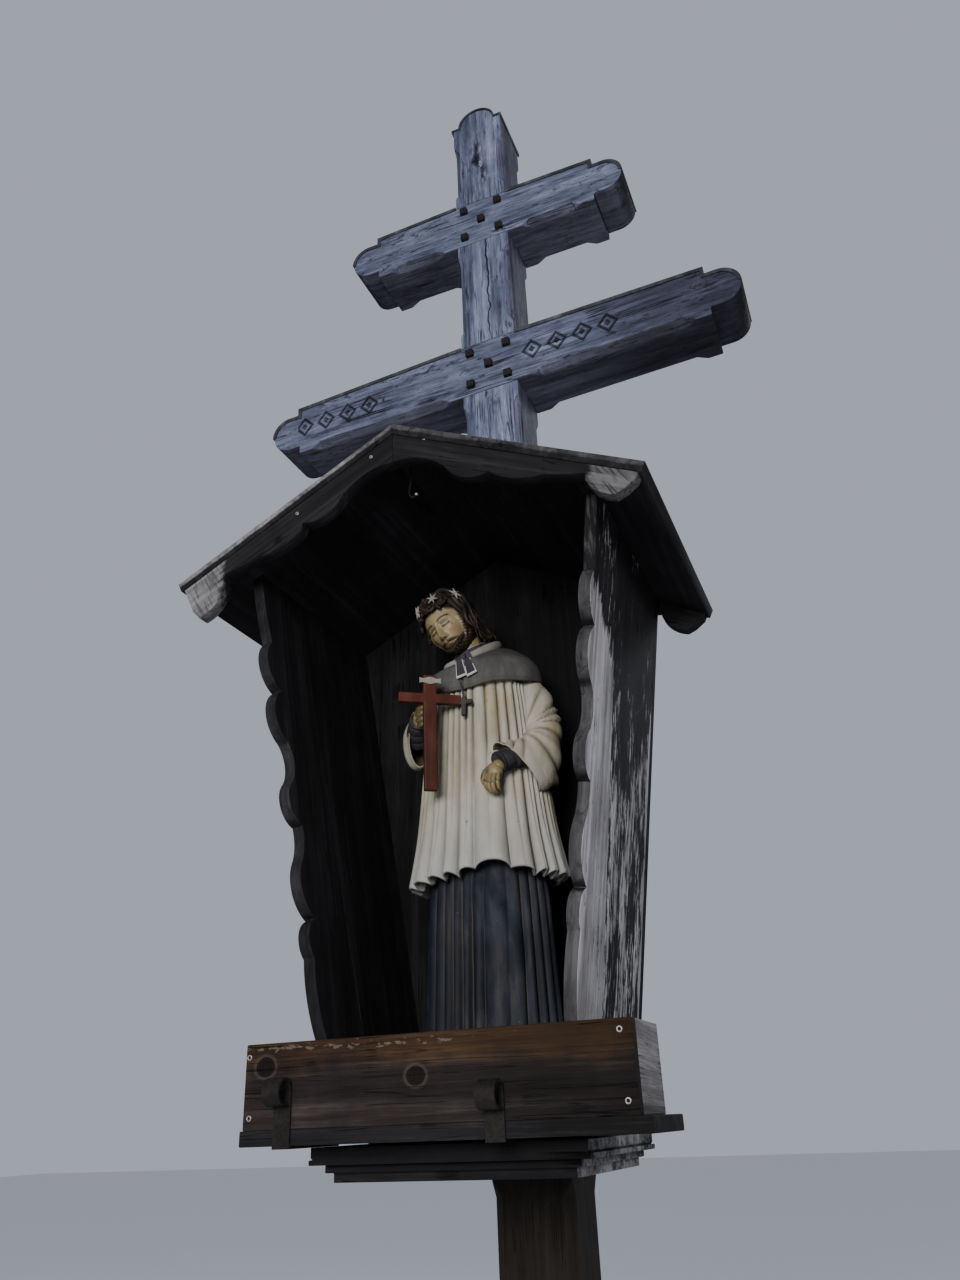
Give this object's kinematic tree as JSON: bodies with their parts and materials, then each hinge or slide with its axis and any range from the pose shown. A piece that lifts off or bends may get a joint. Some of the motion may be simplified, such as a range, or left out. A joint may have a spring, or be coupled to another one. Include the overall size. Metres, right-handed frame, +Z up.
{
  "type": "wayside shrine",
  "caption": "Tall timber post that ends in a cross with sheet-covered arms, with a roofed niche on its front that shelters a carved figure, above a planter box.",
  "frame": {"origin": "centre of the post's foot at ground level", "axes": "+Z up along the post, +X to the right seen from the front, +Y to the back; the niche faces -Y"},
  "size_m": [1.555, 0.832, 4.759],
  "materials": {
    "beam_wood": "weathered grey timber",
    "niche_wood": "dark brown stained boards, weathered",
    "roof_wood": "weathered roof boards",
    "side_wood": "grey weathered boards with worn dark stain",
    "planter_wood": "brown weathered softwood",
    "sheet_metal": "dark weathered sheet",
    "iron": "blackened flat iron",
    "peg_wood": "dark oiled oak pegs",
    "surplice_paint": "painted carved wood, aged cream",
    "cassock_paint": "painted carved wood, blue grey",
    "cape_paint": "painted carved wood, grey",
    "skin_paint": "painted carved wood, satin flesh tone",
    "hair_paint": "painted carved wood, dark brown",
    "cross_paint": "red brown varnish",
    "plinth_paint": "painted carved wood, dark"
  },
  "bodies": {
    "root": {"post": "beam_wood", "post_cap": "sheet_metal", "upper_crossbeam": "beam_wood", "lower_crossbeam": "beam_wood", "upper_joint_pegs": "peg_wood", "lower_joint_pegs": "peg_wood", "upper_flashing_left": "sheet_metal", "upper_flashing_right": "sheet_metal", "lower_flashing_left": "sheet_metal", "lower_flashing_right": "sheet_metal", "roof_boards_left": "roof_wood", "roof_boards_right": "roof_wood", "front_bargeboard_left": "niche_wood", "front_bargeboard_right": "niche_wood", "back_bargeboard_left": "niche_wood", "back_bargeboard_right": "niche_wood", "side_wall_left_front": "side_wood", "side_wall_right_front": "side_wood", "side_wall_left_rear": "side_wood", "side_wall_right_rear": "side_wood", "back_wall": "niche_wood", "niche_floor": "niche_wood", "sill_moulding": "niche_wood", "planter_front": "planter_wood", "planter_back": "planter_wood", "planter_left_end": "planter_wood", "planter_right_end": "planter_wood", "planter_floor": "planter_wood", "iron_bracket_left": "iron", "iron_bracket_middle": "iron", "figure_plinth": "plinth_paint", "figure_cassock": "cassock_paint", "figure_surplice": "surplice_paint", "figure_cape": "cape_paint", "figure_head": "skin_paint", "figure_hair": "hair_paint", "figure_star_wreath": "sheet_metal", "figure_right_sleeve": "surplice_paint", "figure_left_sleeve": "surplice_paint", "figure_crucifix": "cross_paint", "figure_right_hand": "skin_paint", "figure_left_hand": "skin_paint", "figure_pectoral_cross": "cape_paint", "figure_collar_bands": "cassock_paint"}
  },
  "joints": []
}
